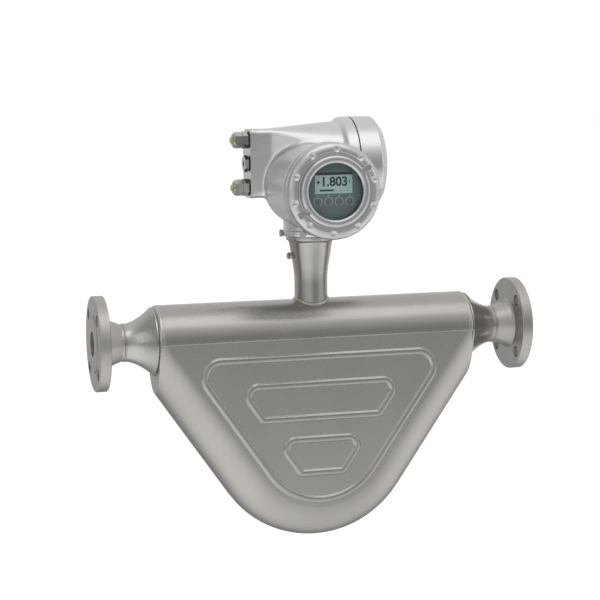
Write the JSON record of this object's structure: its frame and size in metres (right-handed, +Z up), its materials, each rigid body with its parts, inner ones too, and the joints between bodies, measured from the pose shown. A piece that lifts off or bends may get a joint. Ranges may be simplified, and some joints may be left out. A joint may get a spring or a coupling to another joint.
{
  "type": "coriolis flow meter",
  "caption": "Flanged flow meter with bent measuring tubes in a pressed V-shaped steel casing, a stem and a round cast transmitter with a display.",
  "frame": {"origin": "centre of the inlet flange's sealing face", "axes": "+X along the pipe towards the outlet, +Z up through the stem, -Y where the display looks"},
  "size_m": [0.72, 0.2744, 0.6837],
  "materials": {
    "turned_steel": "turned stainless steel, satin",
    "casing_steel": "blasted and pickled stainless sheet, satin",
    "cast_steel": "cast stainless steel, fine blasted",
    "zinc_steel": "machined stainless screws",
    "tube_steel": "drawn stainless tube",
    "nickel_brass": "nickel-plated brass",
    "copper_coil": "wound enamelled wire",
    "black_rubber": "moulded seal",
    "black_plastic": "moulded",
    "carrier_plastic": "moulded",
    "panel_plastic": "printed front panel behind the window",
    "key_plastic": "printed touch field",
    "lcd_glass": "liquid-crystal panel",
    "window_glass": "toughened window",
    "circuit_board": "solder-masked board",
    "yellow_plastic": "moulded dust plug",
    "glass_seal": "glass-to-metal seal"
  },
  "bodies": {
    "sensor": {"inlet_flange": "turned_steel", "outlet_flange": "turned_steel", "inlet_reducer": "turned_steel", "outlet_reducer": "turned_steel", "inlet_end_ring": "turned_steel", "outlet_end_ring": "turned_steel", "spar_pipe": "casing_steel", "casing_front": "casing_steel", "casing_back": "casing_steel", "inlet_splitter": "turned_steel", "outlet_splitter": "turned_steel", "inlet_brace_plate": "turned_steel", "outlet_brace_plate": "turned_steel", "stem": "casing_steel", "feedthrough": "glass_seal", "ground_terminal": "zinc_steel", "collar_seal": "black_rubber"},
    "tube_front": {"measuring_tube_front": "tube_steel", "drive_coil": "copper_coil", "inlet_sensor_coil": "copper_coil", "outlet_sensor_coil": "copper_coil", "temperature_sensor": "black_plastic"},
    "tube_back": {"measuring_tube_back": "tube_steel", "drive_magnet": "zinc_steel", "inlet_sensor_magnet": "zinc_steel", "outlet_sensor_magnet": "zinc_steel"},
    "head": {"transmitter_housing": "cast_steel", "collar_screws": "zinc_steel", "cover_lock_screw": "zinc_steel", "electronics_carrier": "carrier_plastic", "circuit_boards": "circuit_board", "display_module": "panel_plastic", "lcd_panel": "lcd_glass", "touch_keys": "key_plastic", "terminal_block": "circuit_board", "terminal_screws": "zinc_steel", "upper_gland_washer": "black_rubber", "upper_gland_body": "nickel_brass", "lower_gland_washer": "black_rubber", "lower_gland_body": "nickel_brass"},
    "display_seal": {"display_cover_oring": "black_rubber"},
    "display_lid": {"display_cover": "cast_steel", "display_glass": "window_glass", "glass_ring": "black_plastic"},
    "terminal_seal": {"terminal_cover_oring": "black_rubber"},
    "terminal_lid": {"terminal_cover": "cast_steel"},
    "upper_seal": {"upper_gland_seal": "black_rubber", "upper_dust_plug": "yellow_plastic"},
    "upper_nut": {"upper_gland_nut": "nickel_brass"},
    "lower_seal": {"lower_gland_seal": "black_rubber", "lower_dust_plug": "yellow_plastic"},
    "lower_nut": {"lower_gland_nut": "nickel_brass"},
    "plug_seal": {"blind_plug_oring": "black_rubber"},
    "plug": {"blind_plug": "black_plastic"}
  },
  "joints": [
    {"name": "head_turn", "type": "hinge", "parent": "sensor", "child": "head", "pos_m": [0.36, 0, 0.16], "axis": [0, 0, 1], "range_deg": [-175, 175]},
    {"name": "display_cover_travel", "type": "slide", "parent": "head", "child": "display_seal", "axis": [0, -1, 0], "range_m": [0, 0.0101]},
    {"name": "display_cover_turn", "type": "hinge", "parent": "display_seal", "child": "display_lid", "pos_m": [0.36, -0.13, 0.24], "axis": [0, -1, 0], "range_deg": [0, 1800]},
    {"name": "terminal_cover_travel", "type": "slide", "parent": "head", "child": "terminal_seal", "axis": [1, 0, 0], "range_m": [0, 0.0101]},
    {"name": "terminal_cover_turn", "type": "hinge", "parent": "terminal_seal", "child": "terminal_lid", "pos_m": [0.45, 0.045, 0.272], "axis": [1, 0, 0], "range_deg": [0, 1800]},
    {"name": "upper_gland_travel", "type": "slide", "parent": "head", "child": "upper_seal", "axis": [-1, 0, 0], "range_m": [0, 0.0045]},
    {"name": "upper_gland_turn", "type": "hinge", "parent": "upper_seal", "child": "upper_nut", "pos_m": [0.25, 0.048, 0.3145], "axis": [-1, 0, 0], "range_deg": [0, 1090]},
    {"name": "lower_gland_travel", "type": "slide", "parent": "head", "child": "lower_seal", "axis": [-1, 0, 0], "range_m": [0, 0.0045]},
    {"name": "lower_gland_turn", "type": "hinge", "parent": "lower_seal", "child": "lower_nut", "pos_m": [0.25, 0.048, 0.2375], "axis": [-1, 0, 0], "range_deg": [0, 1090]},
    {"name": "blind_plug_travel", "type": "slide", "parent": "head", "child": "plug_seal", "axis": [-1, 0, 0], "range_m": [0, 0.006]},
    {"name": "blind_plug_turn", "type": "hinge", "parent": "plug_seal", "child": "plug", "pos_m": [0.26, 0.048, 0.276], "axis": [-1, 0, 0], "range_deg": [0, 1450]},
    {"name": "front_tube_swing", "type": "hinge", "parent": "sensor", "child": "tube_front", "pos_m": [0.36, -0.022, 0], "axis": [1, 0, 0], "range_deg": [-0.15, 0.15], "stiffness_Nm_per_rad": 200},
    {"name": "back_tube_swing", "type": "hinge", "parent": "sensor", "child": "tube_back", "pos_m": [0.36, 0.022, 0], "axis": [1, 0, 0], "range_deg": [-0.16, 0.16], "stiffness_Nm_per_rad": 200}
  ],
  "couplings": [
    {"joint": "display_cover_travel", "follows": "display_cover_turn", "m_per_rad": 0.00031831},
    {"joint": "terminal_cover_travel", "follows": "terminal_cover_turn", "m_per_rad": 0.00031831},
    {"joint": "upper_gland_turn", "follows": "upper_gland_travel", "rad_per_m": 4188.8},
    {"joint": "lower_gland_turn", "follows": "lower_gland_travel", "rad_per_m": 4188.8},
    {"joint": "blind_plug_turn", "follows": "blind_plug_travel", "rad_per_m": 4188.8},
    {"joint": "back_tube_swing", "follows": "front_tube_swing", "ratio": -1}
  ]
}
